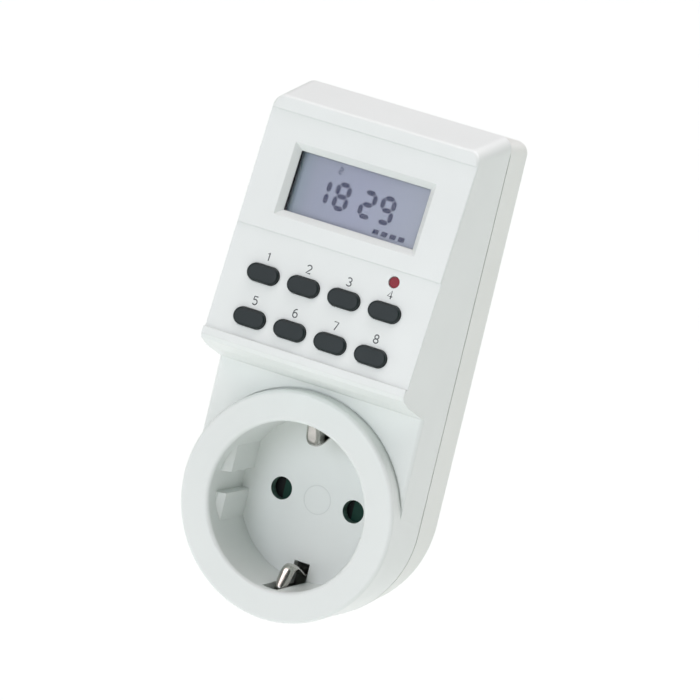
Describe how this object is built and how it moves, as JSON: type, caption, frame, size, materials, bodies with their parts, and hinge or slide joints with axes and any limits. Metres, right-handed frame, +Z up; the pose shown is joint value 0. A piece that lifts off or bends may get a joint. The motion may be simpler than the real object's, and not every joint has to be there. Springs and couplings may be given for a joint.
{
  "type": "plug-in timer switch",
  "caption": "Plug-in socket timer with a sloping key panel and display above an earthed socket, and a two-pin plug behind.",
  "frame": {"origin": "centre of the plug's end face, on the line midway between the two pins", "axes": "+Y along the plug pins, away from the user; +Z up the housing from the socket to the top; +X to the right seen from the front"},
  "size_m": [0.054, 0.0752, 0.1215],
  "materials": {
    "front_plastic": "fine matt",
    "rear_plastic": "fine matt",
    "clear_window": "gloss",
    "display_glass": "gloss",
    "white_holder": "matt",
    "grey_rubber": "matt",
    "circuit_board": "semi-gloss",
    "steel": "satin",
    "black_part": "matt",
    "bright_can": "satin",
    "key_plastic": "satin",
    "red_plastic": "satin",
    "switch_plastic": "matt",
    "nickel": "bright",
    "base_plastic": "matt",
    "brass_strip": "satin",
    "shutter_plastic": "matt",
    "film_plastic": "satin",
    "can_sleeve": "satin",
    "varistor_coat": "matt",
    "fuse_ceramic": "satin",
    "resistor_coat": "satin",
    "ribbon_jacket": "matt"
  },
  "bodies": {
    "housing": {"front_housing": "front_plastic", "rear_housing": "rear_plastic", "display_window": "clear_window", "lcd_cell": "display_glass", "lcd_holder": "white_holder", "contact_strips": "grey_rubber", "control_board": "circuit_board", "power_board": "circuit_board", "control_board_screws": "steel", "power_board_screws": "steel", "housing_screws": "steel", "battery_tabs": "steel", "shutter_screw": "steel", "shutter_spring": "steel", "controller_chip": "black_part", "relay": "black_part", "diodes": "black_part", "clock_crystal": "bright_can", "backup_battery": "bright_can", "switch_bodies": "switch_plastic", "line_pin": "nickel", "neutral_pin": "nickel", "earth_strip": "nickel", "contact_base": "base_plastic", "line_contact": "brass_strip", "neutral_contact": "brass_strip", "line_strip": "brass_strip", "neutral_strip": "brass_strip", "film_capacitor": "film_plastic", "electrolytic_capacitor": "can_sleeve", "varistor": "varistor_coat", "fuse": "fuse_ceramic", "resistors": "resistor_coat", "ribbon_cable": "ribbon_jacket"},
    "key_1_body": {"key_1": "key_plastic", "plunger_1": "switch_plastic"},
    "key_2_body": {"key_2": "key_plastic", "plunger_2": "switch_plastic"},
    "key_3_body": {"key_3": "key_plastic", "plunger_3": "switch_plastic"},
    "key_4_body": {"key_4": "key_plastic", "plunger_4": "switch_plastic"},
    "key_5_body": {"key_5": "key_plastic", "plunger_5": "switch_plastic"},
    "key_6_body": {"key_6": "key_plastic", "plunger_6": "switch_plastic"},
    "key_7_body": {"key_7": "key_plastic", "plunger_7": "switch_plastic"},
    "key_8_body": {"key_8": "key_plastic", "plunger_8": "switch_plastic"},
    "reset_body": {"reset_button": "red_plastic", "reset_plunger": "switch_plastic"},
    "shutter_body": {"safety_shutter": "shutter_plastic"}
  },
  "joints": [
    {"name": "key_1_press", "type": "slide", "parent": "housing", "child": "key_1_body", "axis": [0, 0.9842, -0.1771], "range_m": [0, 0.0005], "stiffness_N_per_m": 1500, "springref_m": -0.0003},
    {"name": "key_2_press", "type": "slide", "parent": "housing", "child": "key_2_body", "axis": [0, 0.9842, -0.1771], "range_m": [0, 0.0005], "stiffness_N_per_m": 1500, "springref_m": -0.0003},
    {"name": "key_3_press", "type": "slide", "parent": "housing", "child": "key_3_body", "axis": [0, 0.9842, -0.1771], "range_m": [0, 0.0005], "stiffness_N_per_m": 1500, "springref_m": -0.0003},
    {"name": "key_4_press", "type": "slide", "parent": "housing", "child": "key_4_body", "axis": [0, 0.9842, -0.1771], "range_m": [0, 0.0005], "stiffness_N_per_m": 1500, "springref_m": -0.0003},
    {"name": "key_5_press", "type": "slide", "parent": "housing", "child": "key_5_body", "axis": [0, 0.9842, -0.1771], "range_m": [0, 0.0005], "stiffness_N_per_m": 1500, "springref_m": -0.0003},
    {"name": "key_6_press", "type": "slide", "parent": "housing", "child": "key_6_body", "axis": [0, 0.9842, -0.1771], "range_m": [0, 0.0005], "stiffness_N_per_m": 1500, "springref_m": -0.0003},
    {"name": "key_7_press", "type": "slide", "parent": "housing", "child": "key_7_body", "axis": [0, 0.9842, -0.1771], "range_m": [0, 0.0005], "stiffness_N_per_m": 1500, "springref_m": -0.0003},
    {"name": "key_8_press", "type": "slide", "parent": "housing", "child": "key_8_body", "axis": [0, 0.9842, -0.1771], "range_m": [0, 0.0005], "stiffness_N_per_m": 1500, "springref_m": -0.0003},
    {"name": "reset_press", "type": "slide", "parent": "housing", "child": "reset_body", "axis": [0, 0.9842, -0.1771], "range_m": [0, 0.0005], "stiffness_N_per_m": 1500, "springref_m": -0.0003},
    {"name": "shutter_turn", "type": "hinge", "parent": "housing", "child": "shutter_body", "pos_m": [0, -0.0255, 0], "axis": [0, 1, 0], "range_deg": [0, 40], "stiffness_Nm_per_rad": 0.002, "springref_deg": -11.46}
  ]
}
